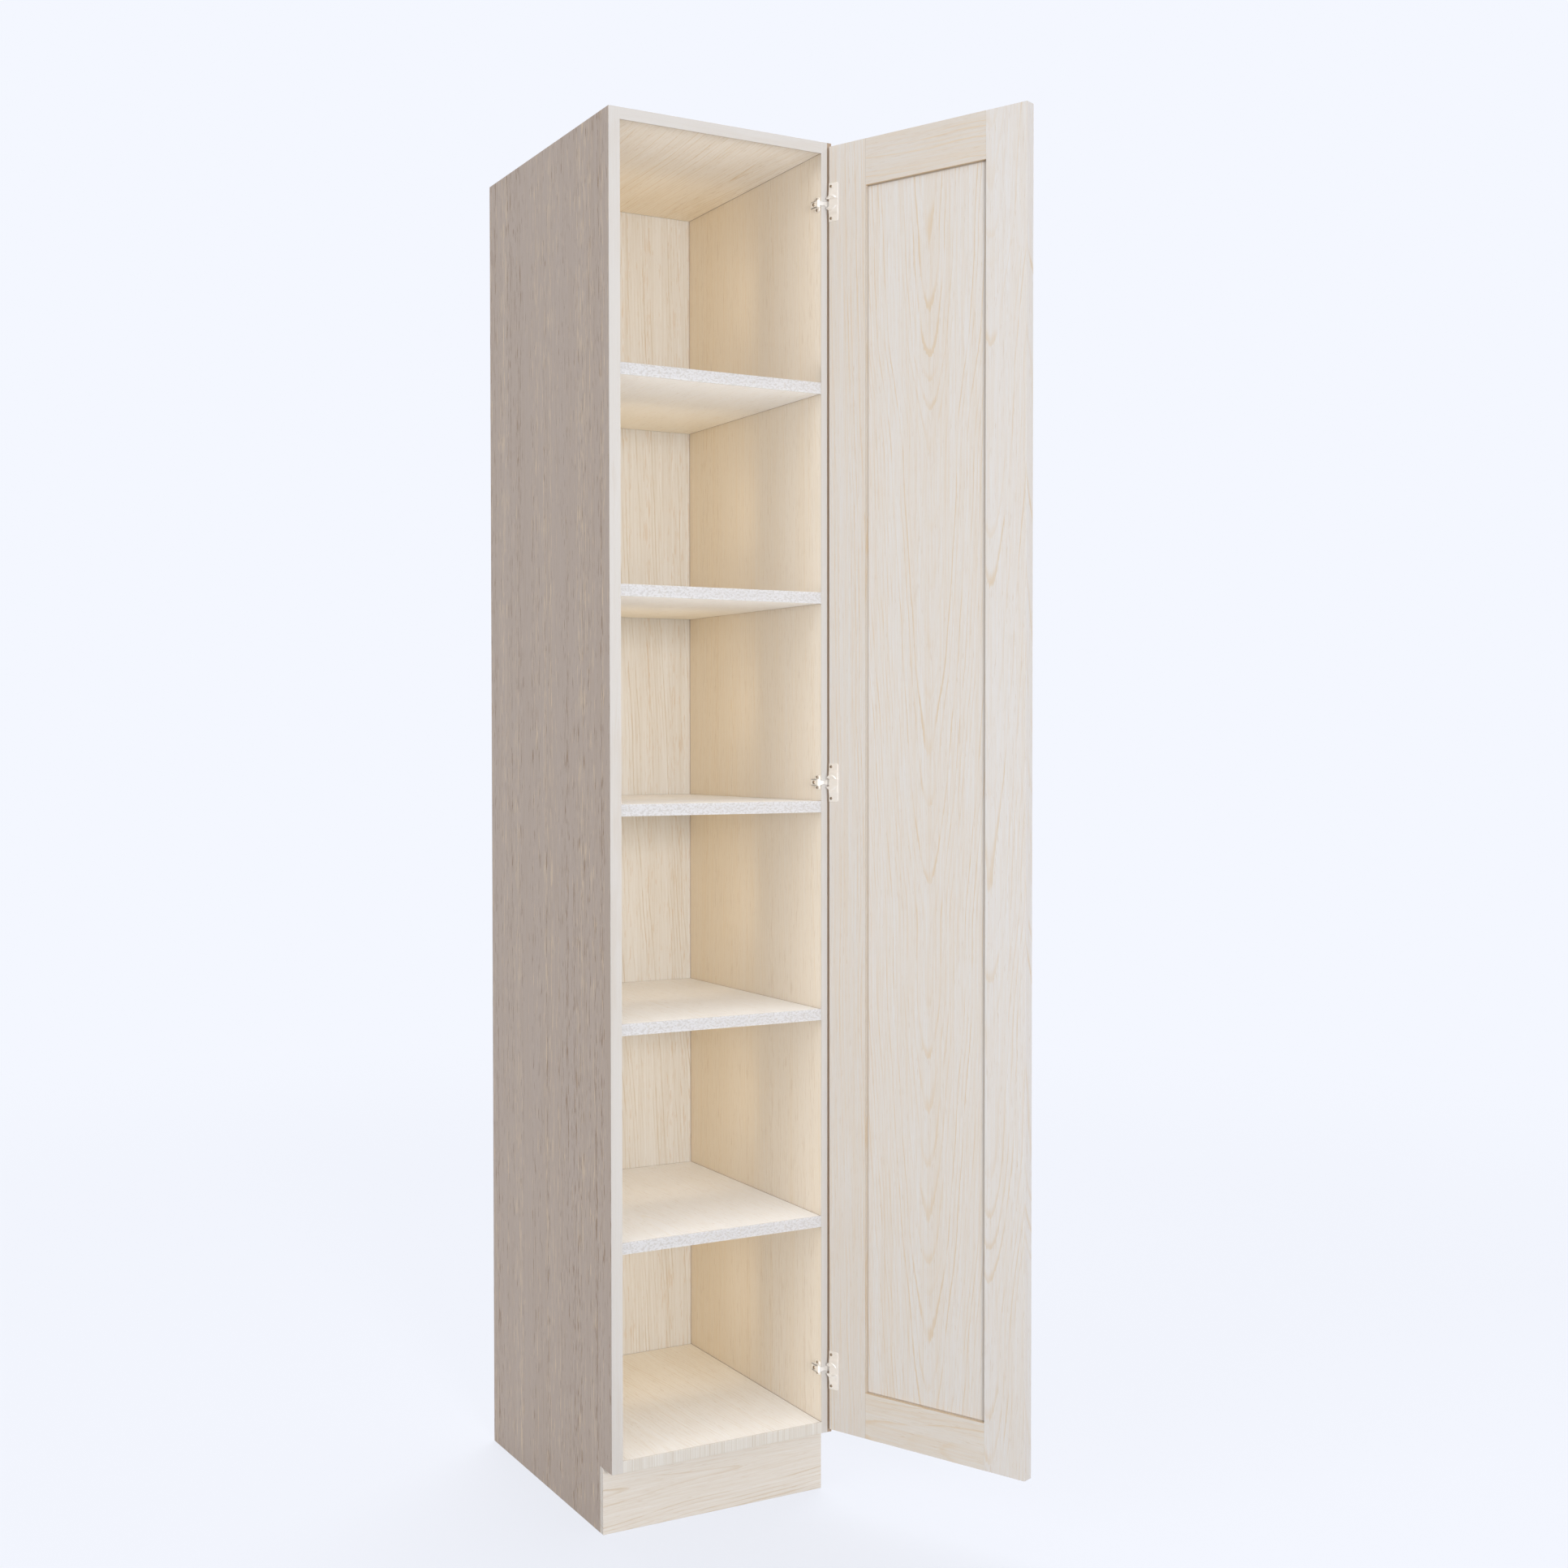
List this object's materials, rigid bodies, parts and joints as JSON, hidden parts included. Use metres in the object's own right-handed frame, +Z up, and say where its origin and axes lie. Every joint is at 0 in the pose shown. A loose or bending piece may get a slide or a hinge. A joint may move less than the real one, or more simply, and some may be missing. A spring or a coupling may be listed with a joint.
{
  "type": "tall pantry cabinet",
  "caption": "Tall frameless storage cabinet with fixed shelves, a recessed toe board and one full-height shaker door hung on concealed hinges at the right.",
  "frame": {"origin": "on the floor, in the middle of the width, in the plane of the rear edges that stand against the wall", "axes": "+Z up, +Y towards the wall behind, so that -Y is the front; +X is to the right for someone who faces the cabinet"},
  "size_m": [0.5252, 0.8592, 2.15],
  "materials": {
    "panel_wood": "pale limed oak, satin",
    "band_wood": "pale limed oak edge, satin",
    "back_wood": "pale limed oak, satin",
    "rail_wood": "bare birch ply",
    "toe_wood": "pale limed oak, satin",
    "door_wood": "pale limed oak, satin",
    "dowel_wood": "bare beech",
    "hinge_nickel": "satin nickel",
    "pin_steel": "ground steel",
    "hinge_screw": "nickel",
    "screw_steel": "zinc, dulled"
  },
  "bodies": {
    "carcass": {"side_left": "panel_wood", "side_right": "panel_wood", "top_panel": "panel_wood", "bottom_panel": "panel_wood", "shelf_1": "panel_wood", "shelf_2": "panel_wood", "shelf_3": "panel_wood", "shelf_4": "panel_wood", "shelf_5": "panel_wood", "band_left": "band_wood", "band_right": "band_wood", "band_top": "band_wood", "band_bottom": "band_wood", "shelf_band_1": "band_wood", "shelf_band_2": "band_wood", "shelf_band_3": "band_wood", "shelf_band_4": "band_wood", "shelf_band_5": "band_wood", "back_panel": "back_wood", "rail_bottom": "rail_wood", "rail_middle": "rail_wood", "rail_top": "rail_wood", "toe_board": "toe_wood", "toe_block_left": "rail_wood", "toe_block_right": "rail_wood", "shelf_dowels": "dowel_wood", "panel_dowels": "dowel_wood", "rail_dowels": "dowel_wood", "back_screws": "screw_steel", "rail_screws": "screw_steel", "hinge_arm_lower": "hinge_nickel", "hinge_arm_middle": "hinge_nickel", "hinge_arm_upper": "hinge_nickel", "hinge_mount_lower": "hinge_nickel", "hinge_mount_middle": "hinge_nickel", "hinge_mount_upper": "hinge_nickel", "hinge_mount_screws": "hinge_screw", "hinge_clamp_screws": "hinge_screw"},
    "door": {"door_stile_hinge": "door_wood", "door_stile_free": "door_wood", "door_rail_bottom": "door_wood", "door_rail_top": "door_wood", "door_panel": "door_wood", "hinge_plate_lower": "hinge_nickel", "hinge_plate_middle": "hinge_nickel", "hinge_plate_upper": "hinge_nickel", "hinge_pins": "pin_steel", "hinge_plate_screws": "hinge_screw"}
  },
  "joints": [
    {"name": "door_swing", "type": "hinge", "parent": "carcass", "child": "door", "pos_m": [0.1847, -0.5156, 1.1415], "axis": [0, 0, 1], "range_deg": [-112, 3]}
  ]
}
